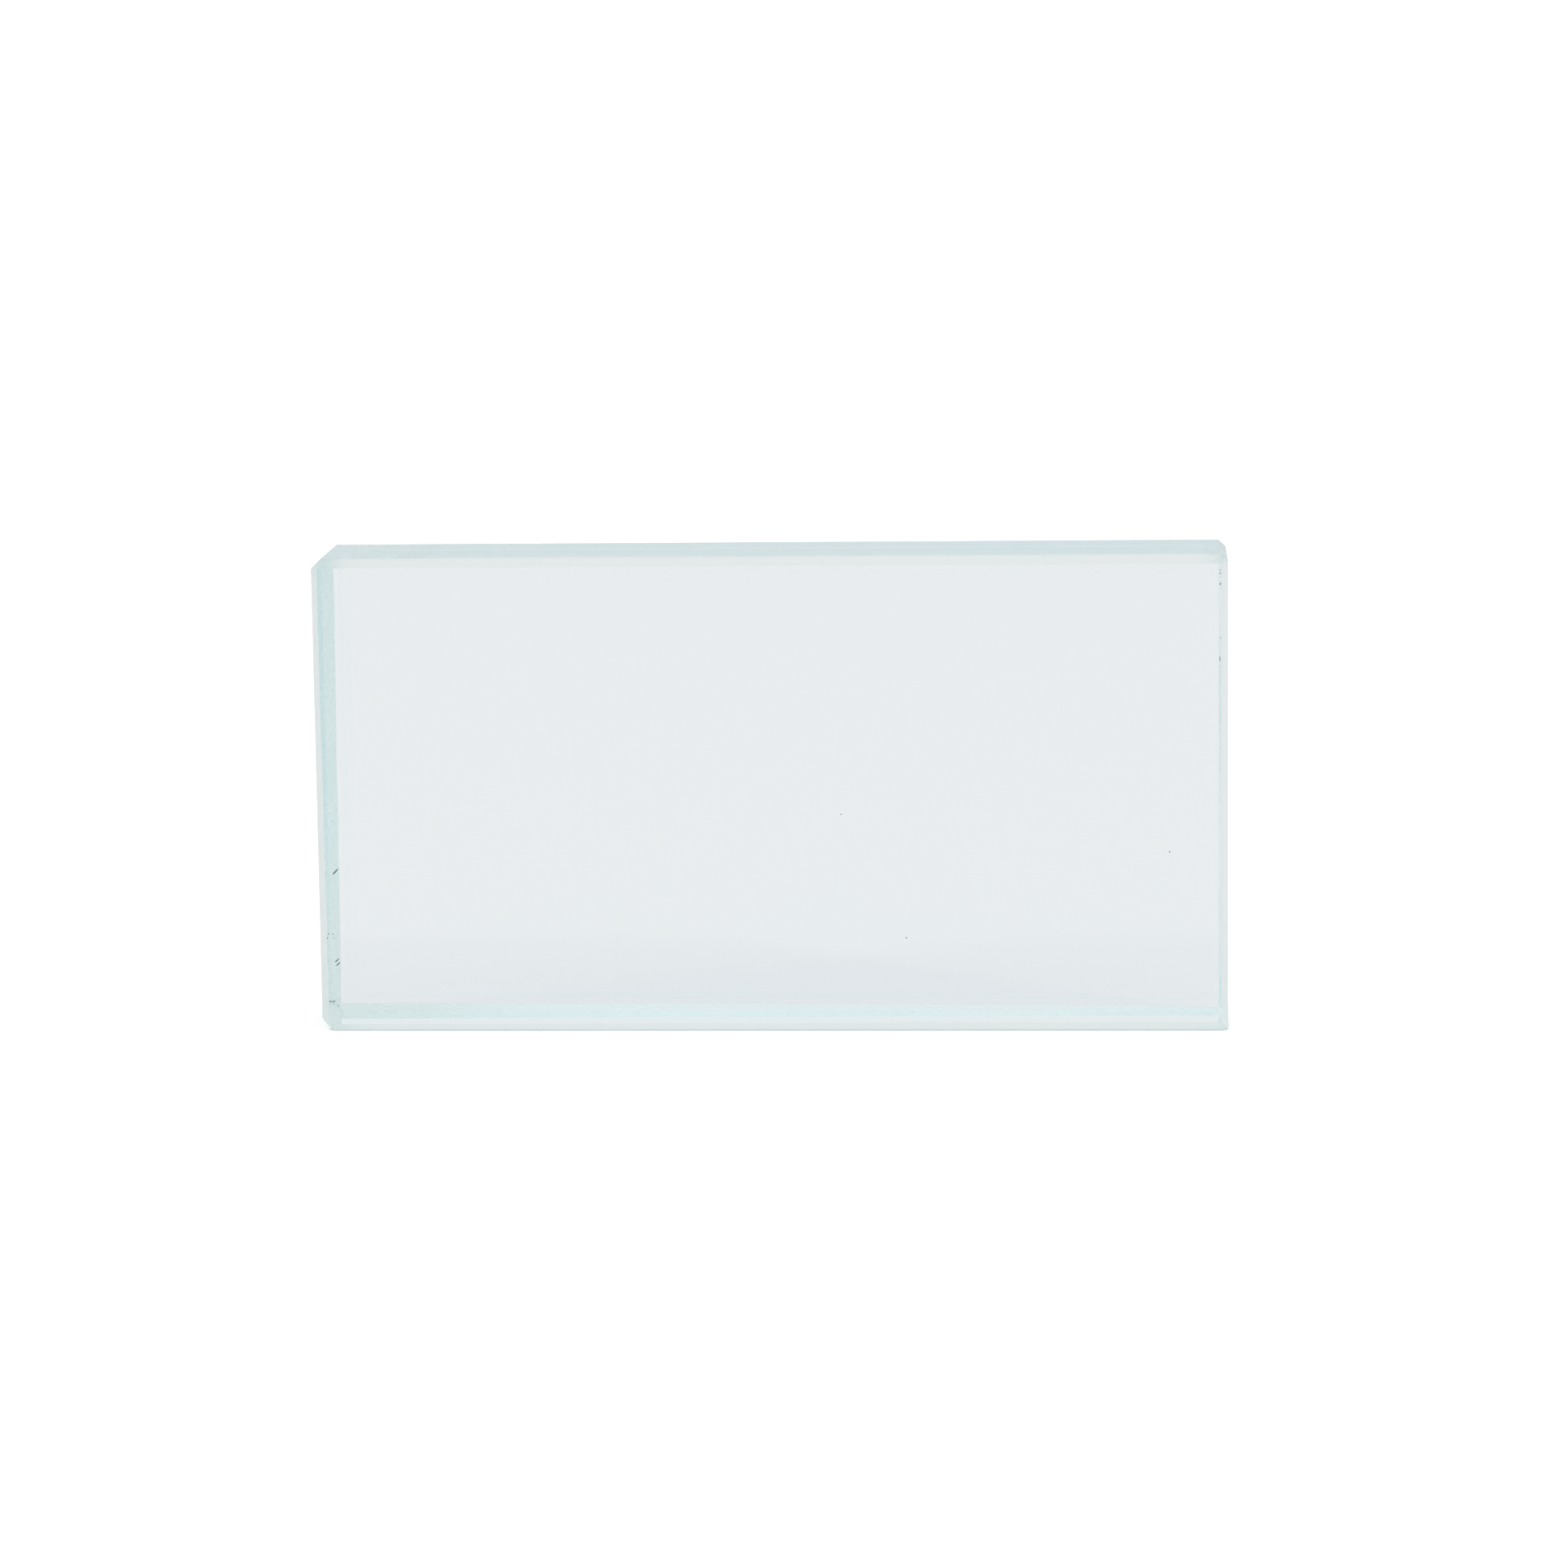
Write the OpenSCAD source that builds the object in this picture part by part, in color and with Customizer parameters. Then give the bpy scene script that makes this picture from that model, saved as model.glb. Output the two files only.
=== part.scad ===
// Rectangular optical block: one solid piece of clear glass, stood on one of
// its long narrow faces. The six faces are flat and polished. Every edge has a
// small bevel ground by hand at about 45 degrees, so a bevel's width changes a
// little along its edge, and the eight corners are blunted. The two ends are
// sawn slightly out of square, so the back broad face is the longer one.
// The origin is the middle of the footprint on the face the block stands on.
// +X runs along the length, +Y through the thickness from the front broad face
// to the back one, and +Z is up.

/* [Block] */
// Length of the block half way through its thickness, along X
length = 115; // [60:1:200]
// Height of the block as it stands on a long narrow face, along Z
height = 60; // [30:1:120]
// Thickness between the two broad faces, along Y
thickness = 21; // [10:1:50]

/* [Edge bevels] */
// Mean leg of the bevels along the four long edges
long_bevel = 1.02; // [0.3:0.01:2]
// Mean leg of the bevels along the four upright edges
upright_bevel = 1.01; // [0.3:0.01:2]
// Mean leg of the bevels along the four short edges around the two ends
end_bevel = 0.96; // [0.3:0.01:2]
// How far the hand ground widths and slopes depart from even (0 is even)
unevenness = 1; // [0:0.05:1]

/* [Ends] */
// How far the left end's back edge stands out past its front edge
left_out = 0.61; // [0:0.01:1.5]
// How far the right end's back edge stands out past its front edge
right_out = 0.16; // [0:0.01:1.5]

/* [Corners] */
// How far past its three bevels each corner is blunted
corner_blunt = 0.15; // [0.05:0.05:0.8]

/* [Glass] */
// Tint of the glass
tint = "lightcyan"; // [lightcyan, azure, paleturquoise]

/* [Hidden] */

// Each bevel has the signs of the two faces it joins, its leg on the second
// face at the low and at the high end of the edge as a share of the mean leg,
// and its leg on the first face as a share of the one on the second.
// Long edges, along X: signs of Y and Z, shares at -X and +X, slope.
long_edges = [
    [-1,  1, 1.02, 1.09, 1],
    [-1, -1, 0.81, 1.12, 1],
    [ 1,  1, 1.10, 1.16, 1],
    [ 1, -1, 1.14, 0.68, 0.90],
];
// Upright edges, along Z: signs of X and Y, shares at the bottom and top, slope.
upright_edges = [
    [-1, -1, 1.01, 0.79, 1],
    [ 1, -1, 0.82, 0.84, 1],
    [-1,  1, 1.08, 1.46, 1.06],
    [ 1,  1, 1.01, 1.01, 0.85],
];
// Short edges of the ends, along Y: signs of Z and X, shares at -Y and +Y, slope.
end_edges = [
    [ 1, -1, 1.19, 1.01, 1],
    [-1, -1, 1.55, 1.49, 1],
    [ 1,  1, 1.00, 0.99, 1],
    [-1,  1, 0.36, 0.47, 1],
];

// Side of the cutting cubes, well over any bevel.
cutter = 12;

// Leg of a bevel from the mean leg and its share of it.
function leg(mean, share) = mean * (1 + unevenness * (share - 1));

// Slope of a bevel, 1 at 45 degrees.
function slope(share) = 1 + unevenness * (share - 1);

// Size at one end of the bevel that joins faces i and j of a table: the mean
// of its two legs there.
function size_at(table, mean, i, j, end) =
    [for (e = table) if (e[0] == i && e[1] == j)
        leg(mean, end < 0 ? e[2] : e[3]) * (1 + slope(e[4])) / 2][0];

// How far the back edge of the end on side sx stands out past its front edge.
function out(sx) = sx < 0 ? left_out : right_out;

// Distance from the mid plane to the end on side sx, along the edge it shares
// with the broad face on side sy.
function reach(sx, sy) = length / 2 + sy * out(sx) / 2;

// Mirrors its children so that what looks to +X, +Y, +Z looks along the signs.
module facing(sx, sy, sz) {
    mirror([sx < 0 ? 1 : 0, 0, 0])
        mirror([0, sy < 0 ? 1 : 0, 0])
            mirror([0, 0, sz < 0 ? 1 : 0])
                children();
}

// Everything beyond one bevel, for an edge that runs along X from -run/2 to
// run/2 and joins a face at y that looks to +Y with one at z that looks to +Z.
// The legs on the face at z are a at the low end and b at the high end, so the
// plane is tilted, and k times as much on the face at y.
module beyond_bevel(run, y, z, a, b, k) {
    translate([0, y - (a + b) / 4, z - k * (a + b) / 4])
        rotate([-atan(k), 0, 0])
            rotate([0, atan2((b - a) / run, sqrt(1 + 1 / (k * k))), 0])
                translate([-run, -cutter / 2, 0])
                    cube([2 * run, cutter, cutter]);
}

// Everything beyond the plane that blunts the corner at p, which looks to +X,
// +Y and +Z. The distances from the three faces add up to cut on the plane.
module beyond_corner(p, cut) {
    translate([p[0] - cut / 3, p[1] - cut / 3, p[2] - cut / 3])
        rotate([0, acos(1 / sqrt(3)), 45])
            translate([-cutter / 2, -cutter / 2, 0])
                cube(cutter);
}

// Everything beyond one end, which leans outwards by out over the thickness.
module beyond_end(out) {
    wide = 2 * max(thickness, height);
    translate([length / 2, 0, 0])
        rotate([0, 0, -atan2(out, thickness)])
            translate([0, -wide / 2, -wide / 2])
                cube([cutter, wide, wide]);
}

module sawn_ends() {
    for (sx = [-1, 1])
        facing(sx, 1, 1)
            beyond_end(out(sx));
}

module long_bevels() {
    for (e = long_edges)
        facing(1, e[0], e[1])
            beyond_bevel(length, thickness / 2, height / 2,
                leg(long_bevel, e[2]), leg(long_bevel, e[3]), slope(e[4]));
}

module upright_bevels() {
    // the edge's own X, Y, Z become Z, X, Y
    for (e = upright_edges)
        facing(e[0], e[1], 1)
            rotate([0, -90, 0]) rotate([-90, 0, 0])
                beyond_bevel(height, reach(e[0], e[1]), thickness / 2,
                    leg(upright_bevel, e[2]), leg(upright_bevel, e[3]),
                    slope(e[4]));
}

module end_bevels() {
    // the edge's own X, Y, Z become Y, Z, X
    for (e = end_edges)
        facing(e[1], 1, e[0])
            rotate([90, 0, 0]) rotate([0, 90, 0])
                beyond_bevel(thickness, height / 2, length / 2,
                    leg(end_bevel, e[2]) + out(e[1]) / 2,
                    leg(end_bevel, e[3]) - out(e[1]) / 2, slope(e[4]));
}

module blunted_corners() {
    for (sx = [-1, 1], sy = [-1, 1], sz = [-1, 1])
        facing(sx, sy, sz)
            beyond_corner([reach(sx, sy), thickness / 2, height / 2],
                (size_at(long_edges, long_bevel, sy, sz, sx)
                + size_at(upright_edges, upright_bevel, sx, sy, sz)
                + size_at(end_edges, end_bevel, sz, sx, sy)) / 2
                + corner_blunt);
}

// The whole object: one solid block of glass, its footprint on the origin.
module glass_block() {
    color(tint)
        translate([(left_out - right_out) / 4, 0, height / 2])
            difference() {
                cube([length + cutter, thickness, height], center = true);
                sawn_ends();
                long_bevels();
                upright_bevels();
                end_bevels();
                blunted_corners();
            }
}

glass_block();
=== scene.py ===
import math
import random
import bmesh
import bpy
from mathutils import Matrix, Vector


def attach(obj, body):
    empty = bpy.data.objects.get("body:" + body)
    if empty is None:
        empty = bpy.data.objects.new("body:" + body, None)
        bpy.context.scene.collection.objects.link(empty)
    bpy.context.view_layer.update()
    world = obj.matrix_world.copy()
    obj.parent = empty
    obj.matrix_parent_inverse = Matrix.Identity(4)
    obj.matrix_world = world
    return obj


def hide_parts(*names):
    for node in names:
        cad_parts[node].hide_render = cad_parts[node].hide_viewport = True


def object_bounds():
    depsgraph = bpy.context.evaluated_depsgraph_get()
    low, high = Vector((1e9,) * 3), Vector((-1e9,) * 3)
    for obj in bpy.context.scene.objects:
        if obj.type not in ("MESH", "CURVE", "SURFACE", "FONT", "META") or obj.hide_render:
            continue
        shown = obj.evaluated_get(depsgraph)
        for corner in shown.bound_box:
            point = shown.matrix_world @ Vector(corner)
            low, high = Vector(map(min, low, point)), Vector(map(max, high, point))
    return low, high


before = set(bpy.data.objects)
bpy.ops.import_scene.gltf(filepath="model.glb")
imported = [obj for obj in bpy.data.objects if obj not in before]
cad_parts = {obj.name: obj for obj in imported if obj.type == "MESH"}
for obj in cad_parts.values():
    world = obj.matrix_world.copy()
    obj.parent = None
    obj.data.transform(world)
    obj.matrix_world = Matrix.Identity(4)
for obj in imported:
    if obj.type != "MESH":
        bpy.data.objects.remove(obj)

cad_lo, cad_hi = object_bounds()
scene = bpy.context.scene
MM = 0.001

# ---------------------------------------------------------------- camera
cam_data = bpy.data.cameras.new("camera")
cam_data.sensor_width = 36.0
cam_data.lens = 117.425
cam_data.clip_start, cam_data.clip_end = 0.01, 60.0
cam = bpy.data.objects.new("camera", cam_data)
scene.collection.objects.link(cam)
right = Vector((0.99792, 0.06338, -0.01211)).normalized()
back = Vector((0.06446, -0.98752, 0.14369)).normalized()
up = back.cross(right).normalized()
right = up.cross(back)
cam.matrix_world = Matrix((
    (right.x, up.x, back.x, 0.043402),
    (right.y, up.y, back.y, -0.643314),
    (right.z, up.z, back.z, 0.123574),
    (0, 0, 0, 1)))
scene.camera = cam

# ---------------------------------------------------------------- glass
# the bevels' usual grind, and the colour of the painted shade that a bevel ground this coarsely is given
GROUND = 0.42
GROUND_SHADE_TINT = (0.915, 0.925, 0.895, 1)

def glass_material():
    m = bpy.data.materials.new("polished_and_ground_glass")
    m.use_nodes = True
    nt = m.node_tree
    p = nt.nodes["Principled BSDF"]
    out = nt.nodes["Material Output"]
    p.inputs["Base Color"].default_value = (1, 1, 1, 1)
    p.inputs["Transmission Weight"].default_value = 1.0
    p.inputs["IOR"].default_value = 1.52
    p.inputs["Roughness"].default_value = 0.0
    # the narrow bevels are ground, some finer than others, and the six broad faces are polished; the ground bevels
    # also carry painted shade in their colour
    coords = nt.nodes.new("ShaderNodeTexCoord")
    grind_and_shade = nt.nodes.new("ShaderNodeAttribute")
    grind_and_shade.attribute_type = "GEOMETRY"
    grind_and_shade.attribute_name = "grind_and_shade"
    # the grinding isn't even: some of it is finer than the rest
    grain = nt.nodes.new("ShaderNodeTexNoise")
    grain.inputs["Scale"].default_value = 900.0
    grain.inputs["Detail"].default_value = 3.0
    nt.links.new(coords.outputs["Object"], grain.inputs["Vector"])
    uneven = nt.nodes.new("ShaderNodeMapRange")
    for name, value in (("From Min", 0.3), ("From Max", 0.7), ("To Min", 0.92), ("To Max", 1.07)):
        uneven.inputs[name].default_value = value
    nt.links.new(grain.outputs["Fac"], uneven.inputs["Value"])
    product = nt.nodes.new("ShaderNodeMath")
    product.operation = "MULTIPLY"
    nt.links.new(grind_and_shade.outputs["Fac"], product.inputs[0])
    nt.links.new(uneven.outputs["Result"], product.inputs[1])
    nt.links.new(product.outputs["Value"], p.inputs["Roughness"])
    # painted shade: the ground bevels' base colour is tinted darker and greener the coarser they are ground, in
    # place of the light that ground glass loses on its longer paths inside; the full tint at the usual grind,
    # twice as strong at double it
    bevel_shade_tint = nt.nodes.new("ShaderNodeMix")
    bevel_shade_tint.data_type = "RGBA"
    ground = nt.nodes.new("ShaderNodeMapRange")
    for name, value in (("From Min", 0.0), ("From Max", 2 * GROUND), ("To Min", 0.0), ("To Max", 2.0)):
        ground.inputs[name].default_value = value
    nt.links.new(grind_and_shade.outputs["Fac"], ground.inputs["Value"])
    nt.links.new(ground.outputs["Result"], bevel_shade_tint.inputs["Factor"])
    bevel_shade_tint.clamp_factor = False
    bevel_shade_tint.inputs["A"].default_value = (1, 1, 1, 1)
    bevel_shade_tint.inputs["B"].default_value = GROUND_SHADE_TINT
    nt.links.new(bevel_shade_tint.outputs["Result"], p.inputs["Base Color"])
    vol = nt.nodes.new("ShaderNodeVolumeAbsorption")
    vol.inputs["Color"].default_value = (0.006, 0.600, 0.620, 1)
    vol.inputs["Density"].default_value = 3.4
    nt.links.new(vol.outputs["Volume"], out.inputs["Volume"])
    return m

def grit_material():
    m = bpy.data.materials.new("dark_grit")
    m.use_nodes = True
    nt = m.node_tree
    p = nt.nodes["Principled BSDF"]
    p.inputs["Roughness"].default_value = 0.85
    coords = nt.nodes.new("ShaderNodeTexCoord")
    grain = nt.nodes.new("ShaderNodeTexNoise")
    grain.inputs["Scale"].default_value = 6000.0
    nt.links.new(coords.outputs["Object"], grain.inputs["Vector"])
    mix = nt.nodes.new("ShaderNodeMix")
    mix.data_type = "RGBA"
    nt.links.new(grain.outputs["Fac"], mix.inputs["Factor"])
    mix.inputs["A"].default_value = (0.020, 0.030, 0.050, 1)
    mix.inputs["B"].default_value = (0.070, 0.085, 0.100, 1)
    nt.links.new(mix.outputs["Result"], p.inputs["Base Color"])
    return m

# ---------------------------------------------------------------- the block's mesh
# The CAD block's flat faces are taken over as they are. The ground bevels are
# built anew between them, with edge lines that wander by a few hundredths of a
# millimetre, a middle line that isn't quite straight, and the small chips and
# dark specks that years of handling have left.
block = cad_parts["glass_block"]
rng = random.Random(40)

# (point on the edge, reach along it, how far it eats into the flat face), in mm
CHIPS = [
    ((-56.5, 10.5, 18.6), 0.50, 0.06), ((-56.6, 10.5, 10.1), 0.50, 0.04), ((-56.6, 10.5, 5.4), 0.50, 0.05),
    ((-56.4, 10.5, 24.9), 0.50, 0.05), ((-57.6, 9.3, 1.9), 0.50, 0.06), ((-56.4, 10.5, 26.3), 0.50, 0.04),
    ((56.7, 10.5, 56.4), 0.50, 0.05), ((56.7, 10.5, 54.9), 0.50, 0.06), ((56.7, 10.5, 48.1), 0.50, 0.04),
    ((57.5, -9.6, 31.0), 0.60, 0.12), ((12.0, -10.5, 59.0), 0.70, 0.10),
    ((-31.0, 9.4, 60.0), 0.60, 0.14), ((-57.6, 4.0, 59.0), 0.50, 0.14),
]
# (one end, other end, thickness), in mm
SPECKS = [
    ((-57.19, 9.75, 17.98), (-56.56, 10.42, 18.61), 0.15),
    ((-57.40, 9.58, 10.25), (-57.34, 9.64, 10.12), 0.10), ((-57.24, 9.75, 9.70), (-57.20, 9.79, 9.55), 0.08),
    ((-57.17, 9.85, 6.49), (-56.72, 10.33, 6.86), 0.13), ((-57.06, 9.97, 5.98), (-56.62, 10.42, 6.36), 0.12),
    ((-57.52, 9.00, 1.40), (-57.30, 9.40, 1.40), 0.15), ((-57.15, 9.75, 25.03), (-57.12, 9.78, 24.90), 0.07),
    ((56.77, 10.40, 56.70), (56.77, 10.40, 56.64), 0.05), ((56.77, 10.40, 56.36), (56.77, 10.40, 56.24), 0.07),
    ((56.77, 10.40, 55.81), (56.77, 10.40, 55.77), 0.05), ((56.77, 10.40, 55.02), (56.77, 10.40, 54.82), 0.09),
    ((56.80, 10.38, 48.12), (56.80, 10.38, 48.06), 0.06), ((56.78, 10.40, 45.75), (56.78, 10.40, 45.05), 0.06),
    ((56.80, 10.38, 44.43), (56.80, 10.38, 44.39), 0.04), ((56.80, 10.38, 43.62), (56.80, 10.38, 43.58), 0.04),
    ((9.18, -10.42, 27.65), (9.24, -10.42, 27.62), 0.13), ((50.28, -10.42, 22.75), (50.28, -10.42, 22.82), 0.14),
    ((39.86, -10.44, 43.67), (39.90, -10.44, 43.66), 0.06), ((41.21, -10.44, 57.89), (41.23, -10.44, 57.87), 0.07),
    ((13.33, -10.44, 18.21), (13.38, -10.44, 18.19), 0.06), ((17.26, -10.42, 11.94), (17.26, -10.42, 11.89), 0.15),
    ((-26.59, -10.45, 7.88), (-26.52, -10.45, 7.90), 0.04), ((-26.45, -10.45, 7.80), (-26.42, -10.45, 7.84), 0.04),
    ((-44.24, -10.44, 3.90), (-44.21, -10.44, 3.88), 0.06),
]

def wander(amount):
    """A smooth wavering line along an edge: distance along it in metres to a sideways shift in metres."""
    waves = [(amount * share, 2 * math.pi / (length * MM), rng.uniform(0, 2 * math.pi))
             for length, share in ((37, 0.60), (14.3, 0.35), (6.1, 0.12))]
    return lambda t: sum(a * math.sin(k * t + c) for a, k, c in waves)

def faces_of(node):
    """The CAD node's flat faces, each as a closed loop, in the row frame."""
    bm = bmesh.new()
    bm.from_mesh(node.data)
    bm.transform(node.matrix_world)
    bmesh.ops.remove_doubles(bm, verts=bm.verts, dist=1e-7)
    bmesh.ops.dissolve_limit(bm, angle_limit=0.004, verts=bm.verts, edges=bm.edges)
    bm.normal_update()
    points = [v.co.copy() for v in bm.verts]
    bm.verts.index_update()
    loops = [([v.index for v in f.verts], f.normal.copy()) for f in bm.faces]
    bm.free()
    return points, loops

def flat(normal):
    return max(abs(c) for c in normal) > 0.97

def build_block():
    points, loops = faces_of(block)
    verts = list(points)
    faces = []
    owner = {}
    for i, (loop, normal) in enumerate(loops):
        for a, b in zip(loop, loop[1:] + loop[:1]):
            owner[a, b] = i
    lines = {}
    for i, (loop, normal) in enumerate(loops):
        if flat(normal):
            continue
        n = len(loop)
        pairs = [(loop[k], loop[(k + 1) % n]) for k in range(n)]
        sides = [(a, b) for a, b in pairs
                 if flat(loops[owner[b, a]][1]) and (points[a] - points[b]).length > 10 * MM]
        if len(sides) != 2:
            faces.append(tuple(loop))
            continue
        (a0, a1), (b1, b0) = sides            # round the loop: a0 to a1, then b1 back to b0
        length = (points[a1] - points[a0]).length
        # a point every millimetre and a half or so, and closer together at a chip
        even = max(8, round(length / (1.6 * MM)))
        places = [k / even for k in range(even + 1)]
        for centre, reach, depth in CHIPS:
            for p, q in ((points[a0], points[a1]), (points[b0], points[b1])):
                c = Vector(centre) * MM
                t = (c - p).dot((q - p).normalized()) / length
                if (c - p.lerp(q, t)).length < 0.8 * MM:
                    places += [t + k * reach * MM / length for k in (-1, -0.6, -0.25, 0.25, 0.6, 1)]
        places = sorted(t for t in places if 0 <= t <= 1)
        kept = [0.0]
        for t in places[1:-1]:
            if (t - kept[-1]) * length > 0.12 * MM and (1 - t) * length > 0.12 * MM:
                kept.append(t)
        places = kept + [1.0]
        steps = len(places) - 1
        rows = []
        for start, end, host in ((a0, a1, owner[a1, a0]), (b0, b1, owner[b0, b1])):
            p, q = points[start], points[end]
            along = (q - p).normalized()
            out = loops[host][1].cross(along)
            inward = sum((points[v] for v in loops[host][0]), Vector()) / len(loops[host][0]) - p
            if out.dot(inward) < 0:
                out = -out
            line = wander(0.030 * MM)
            row = [start]
            for k in range(1, steps):
                t = length * places[k]
                at = p.lerp(q, places[k])
                fade = min(1.0, t / (1.5 * MM), (length - t) / (1.5 * MM))
                shift = line(t) * fade
                for centre, reach, depth in CHIPS:
                    away = (at - Vector(centre) * MM).length / (reach * MM)
                    if away < 1:
                        shift += depth * MM * (1 - away * away) ** 2
                verts.append(at + out * shift)
                row.append(len(verts) - 1)
            row.append(end)
            rows.append(row)
        line = wander(0.0015 * MM)
        middle = []
        for k in range(steps + 1):
            t = length * places[k]
            p, q = verts[rows[0][k]], verts[rows[1][k]]
            fade = min(1.0, t / (1.5 * MM), (length - t) / (1.5 * MM))
            dip = (0.001 * MM + line(t)) * fade
            for centre, reach, depth in CHIPS:
                away = min((p - Vector(centre) * MM).length, (q - Vector(centre) * MM).length) / (reach * MM * 1.2)
                if away < 1:
                    dip += depth * MM * 0.6 * (1 - away * away) ** 2
            verts.append(p.lerp(q, 0.5) - normal * dip)
            middle.append(len(verts) - 1)
        for k in range(steps):
            faces.append((rows[0][k], rows[0][k + 1], middle[k + 1], middle[k]))
            faces.append((middle[k], middle[k + 1], rows[1][k + 1], rows[1][k]))
        # what is left of the bevel at its two ends
        ia = loop.index(a1)
        chain = [loop[(ia + k) % n] for k in range(n)]
        chain = chain[:chain.index(b1) + 1]
        faces.append(tuple(chain + [middle[-1]]))
        ib = loop.index(b0)
        chain = [loop[(ib + k) % n] for k in range(n)]
        chain = chain[:chain.index(a0) + 1]
        faces.append(tuple(chain + [middle[0]]))
        lines[a1, a0] = rows[0][::-1]
        lines[b0, b1] = rows[1]
    for loop, normal in loops:
        if not flat(normal):
            continue
        around = []
        for a, b in zip(loop, loop[1:] + loop[:1]):
            around += lines[a, b][:-1] if (a, b) in lines else [a]
        faces.append(tuple(around))
    return verts, faces

def speck(p, q, thickness):
    """A small closed grain that reaches from p to q, a little lumpy."""
    p, q = Vector(p) * MM, Vector(q) * MM
    along = (q - p).normalized()
    side = along.orthogonal().normalized()
    other = along.cross(side)
    r = thickness * MM / 2
    half = (q - p).length / 2 + r
    centre = (p + q) / 2
    verts = [centre - along * half]
    rings, sides = 7, 8
    for i in range(1, rings):
        t = -math.cos(math.pi * i / rings)
        for k in range(sides):
            a = 2 * math.pi * k / sides
            wide = r * math.sqrt(1 - t * t) * rng.uniform(0.86, 1.0)
            verts.append(centre + along * half * t + (side * math.cos(a) + other * math.sin(a)) * wide)
    verts.append(centre + along * half)
    faces = [(0, 1 + (k + 1) % sides, 1 + k) for k in range(sides)]
    for i in range(rings - 2):
        a, b = 1 + i * sides, 1 + (i + 1) * sides
        faces += [(a + k, a + (k + 1) % sides, b + (k + 1) % sides, b + k) for k in range(sides)]
    last, a = len(verts) - 1, 1 + (rings - 2) * sides
    faces += [(last, a + k, a + (k + 1) % sides) for k in range(sides)]
    return verts, faces

verts, faces = build_block()
grit_from = len(faces)
for p, q, thickness in SPECKS:
    v, f = speck(p, q, thickness)
    faces += [tuple(i + len(verts) for i in face) for face in f]
    verts += v
# nothing may stand out past the CAD block
low, high = Vector(cad_lo), Vector(cad_hi)
verts = [Vector([min(max(v[i], low[i]), high[i]) for i in range(3)]) for v in verts]
mesh = bpy.data.meshes.new("glass_block_detail")
mesh.from_pydata([tuple(v) for v in verts], [], faces)
mesh.validate()
mesh.materials.append(glass_material())
mesh.materials.append(grit_material())
# how coarsely each bevel is ground, and so how much painted shade its colour is tinted with, by the signs of its
# normal, where it differs from the rest
GRIND_AND_SHADE = {(1, 1, 0): 0.06, (0, 1, -1): 0.32, (-1, -1, 0): 0.54, (0, -1, -1): 0.48, (-1, 0, -1): 0.45}
grind_and_shade = mesh.attributes.new("grind_and_shade", "FLOAT", "FACE")
for polygon in mesh.polygons:
    polygon.material_index = 1 if polygon.index >= grit_from else 0
    if polygon.material_index == 0 and not flat(polygon.normal):
        side = tuple((c > 0.3) - (c < -0.3) for c in polygon.normal)
        value = GRIND_AND_SHADE.get(side, GROUND)
        # the two back bevels get coarser towards the bottom left corner, and so also take more painted shade there
        if side == (0, 1, -1):
            value += 0.26 * min(1, max(0, (-28 * MM - polygon.center.x) / (20 * MM)))
        if side == (-1, 1, 0):
            value += 0.20 * min(1, max(0, (26 * MM - polygon.center.z) / (20 * MM)))
        grind_and_shade.data[polygon.index].value = value
detail = bpy.data.objects.new("glass_block_detail", mesh)
scene.collection.objects.link(detail)
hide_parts("glass_block")
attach(detail, "root")

# ---------------------------------------------------------------- studio
def floor_material():
    m = bpy.data.materials.new("studio_floor")
    m.use_nodes = True
    nt = m.node_tree
    nt.nodes.clear()
    out = nt.nodes.new("ShaderNodeOutputMaterial")
    seen = nt.nodes.new("ShaderNodeBsdfDiffuse")
    # painted contact shadow: the floor colour seen by the camera turns darker and greener where ambient occlusion
    # finds the block within 0.7 mm, along the strip under the bottom bevel
    gap = nt.nodes.new("ShaderNodeAmbientOcclusion")
    gap.samples = 16
    gap.inputs["Distance"].default_value = 0.7 * MM
    shade = nt.nodes.new("ShaderNodeMapRange")
    for name, value in (("From Min", 0.30), ("From Max", 0.75), ("To Min", 0.0), ("To Max", 1.0)):
        shade.inputs[name].default_value = value
    nt.links.new(gap.outputs["AO"], shade.inputs["Value"])
    paper_and_contact_shade = nt.nodes.new("ShaderNodeMix")
    paper_and_contact_shade.data_type = "RGBA"
    nt.links.new(shade.outputs["Result"], paper_and_contact_shade.inputs["Factor"])
    paper_and_contact_shade.inputs["A"].default_value = (0.68, 0.75, 0.75, 1)
    paper_and_contact_shade.inputs["B"].default_value = (1.25, 1.17, 1.16, 1)
    nt.links.new(paper_and_contact_shade.outputs["Result"], seen.inputs["Color"])
    lit = nt.nodes.new("ShaderNodeBsdfDiffuse")
    lit.inputs["Color"].default_value = (0.862, 0.857, 0.872, 1)
    path = nt.nodes.new("ShaderNodeLightPath")
    mix = nt.nodes.new("ShaderNodeMixShader")
    nt.links.new(path.outputs["Is Camera Ray"], mix.inputs["Fac"])
    nt.links.new(lit.outputs[0], mix.inputs[1])
    nt.links.new(seen.outputs[0], mix.inputs[2])
    nt.links.new(mix.outputs[0], out.inputs["Surface"])
    return m

half = 6.0
mesh = bpy.data.meshes.new("studio_floor")
z = -0.00004
mesh.from_pydata([(-half, -half, z), (half, -half, z), (half, half, z), (-half, half, z)], [], [(0, 1, 2, 3)])
floor = bpy.data.objects.new("studio_floor", mesh)
scene.collection.objects.link(floor)
mesh.materials.append(floor_material())

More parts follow.
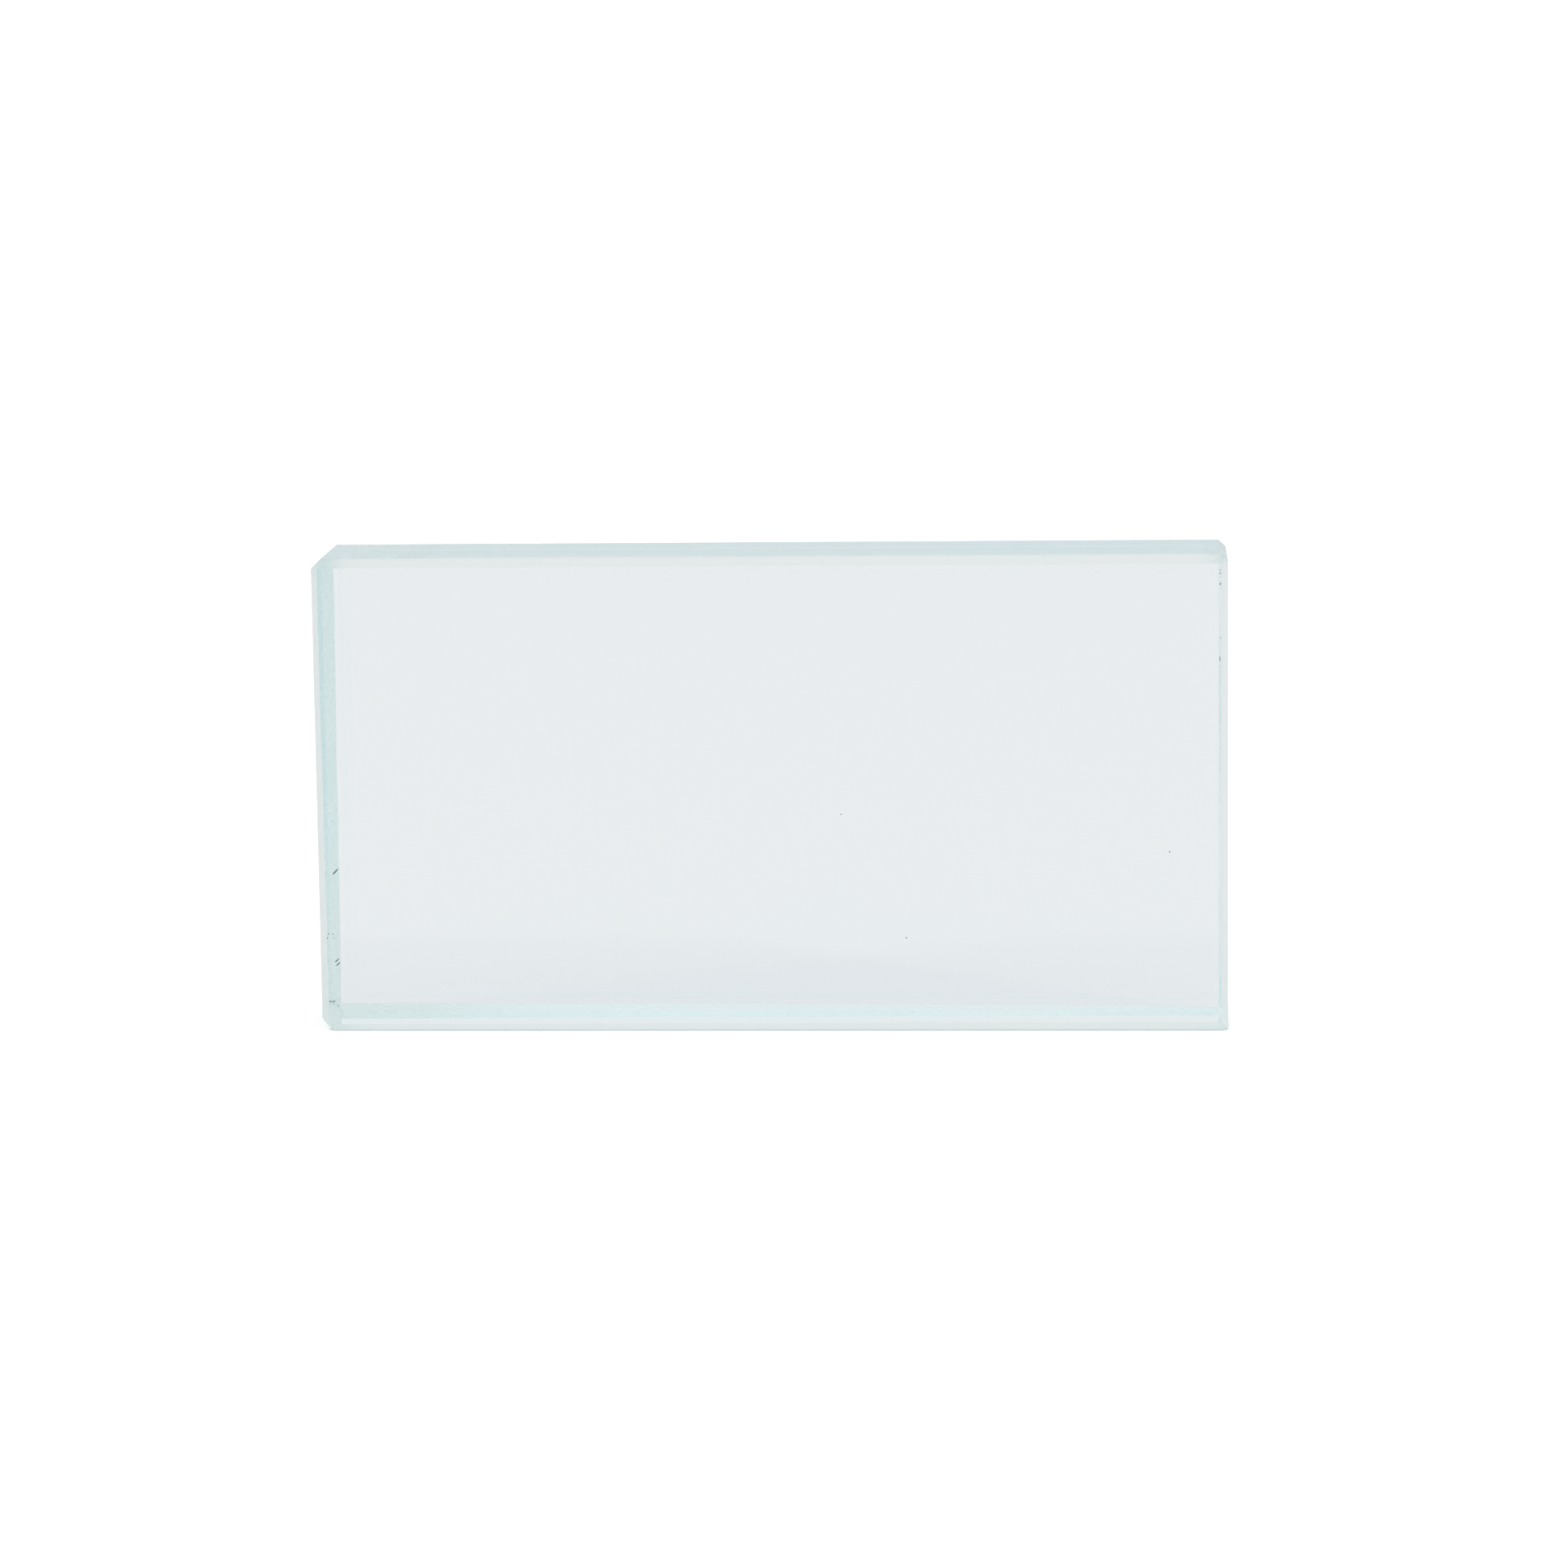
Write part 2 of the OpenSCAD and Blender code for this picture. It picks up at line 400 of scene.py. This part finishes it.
ROOM_LOW, ROOM_HIGH, ROOM_BACK = 0.93, 0.99, 0.89
world = bpy.data.worlds.new("studio")
scene.world = world
world.use_nodes = True
nt = world.node_tree
nt.nodes.clear()
out = nt.nodes.new("ShaderNodeOutputWorld")
coords = nt.nodes.new("ShaderNodeTexCoord")
axes = nt.nodes.new("ShaderNodeSeparateXYZ")
nt.links.new(coords.outputs["Generated"], axes.inputs[0])

def ramp(source, start, end, low, high):
    r = nt.nodes.new("ShaderNodeMapRange")
    r.interpolation_type = "SMOOTHSTEP"
    for name, value in (("From Min", start), ("From Max", end), ("To Min", low), ("To Max", high)):
        r.inputs[name].default_value = value
    nt.links.new(source, r.inputs["Value"])
    return r.outputs["Result"]

# a pale room, a little brighter overhead, with a slightly greyer wall behind
overhead = ramp(axes.outputs["Z"], 0.0, 0.55, ROOM_LOW, ROOM_HIGH)
behind = ramp(axes.outputs["Y"], 0.35, 0.80, 1.0, ROOM_BACK)
level = nt.nodes.new("ShaderNodeMath")
level.operation = "MULTIPLY"
nt.links.new(overhead, level.inputs[0])
nt.links.new(behind, level.inputs[1])
room = nt.nodes.new("ShaderNodeBackground")
wall = nt.nodes.new("ShaderNodeMix")
wall.data_type = "RGBA"
nt.links.new(ramp(axes.outputs["Y"], 0.35, 0.80, 0.0, 1.0), wall.inputs["Factor"])
wall.inputs["A"].default_value = (1.0, 1.002, 1.015, 1)
wall.inputs["B"].default_value = (0.990, 1.014, 1.032, 1)
nt.links.new(wall.outputs["Result"], room.inputs["Color"])
nt.links.new(level.outputs[0], room.inputs["Strength"])
seen = nt.nodes.new("ShaderNodeBackground")
seen.inputs["Color"].default_value = (1, 1, 1, 1)
seen.inputs["Strength"].default_value = 1.1
path = nt.nodes.new("ShaderNodeLightPath")
mix = nt.nodes.new("ShaderNodeMixShader")
nt.links.new(path.outputs["Is Camera Ray"], mix.inputs["Fac"])
nt.links.new(room.outputs[0], mix.inputs[1])
nt.links.new(seen.outputs[0], mix.inputs[2])
nt.links.new(mix.outputs[0], out.inputs["Surface"])

def softbox(name, direction, elevation, distance, size, power):
    d = Vector((direction[0], direction[1], 0)).normalized()
    e = math.radians(elevation)
    pos = Vector((d.x * math.cos(e), d.y * math.cos(e), math.sin(e))) * distance
    l = bpy.data.lights.new(name, "AREA")
    l.shape = "RECTANGLE"
    l.size, l.size_y = size
    l.energy = power
    l.color = (1.0, 0.93, 0.58)
    o = bpy.data.objects.new(name, l)
    o.location = pos
    o.rotation_mode = "QUATERNION"
    o.rotation_quaternion = (-pos).to_track_quat("-Z", "Y")
    o.visible_camera = False
    o.visible_glossy = False
    o.visible_transmission = False
    scene.collection.objects.link(o)
    return o

softbox("softbox_left", (-1.70, -1.0), 30, 3.0, (0.36, 0.36), 4.0)
softbox("softbox_right", (1.32, -1.0), 35, 3.0, (0.16, 0.16), 4.0)

scene.view_settings.view_transform = "Standard"
scene.view_settings.look = "None"
scene.view_settings.exposure = 0
scene.view_settings.gamma = 1
scene.cycles.max_bounces = 128
scene.cycles.transmission_bounces = 128
scene.cycles.glossy_bounces = 128
scene.cycles.diffuse_bounces = 4
scene.cycles.volume_bounces = 0
scene.cycles.sample_clamp_indirect = 10
scene.cycles.blur_glossy = 0.0
scene.cycles.use_denoising = True
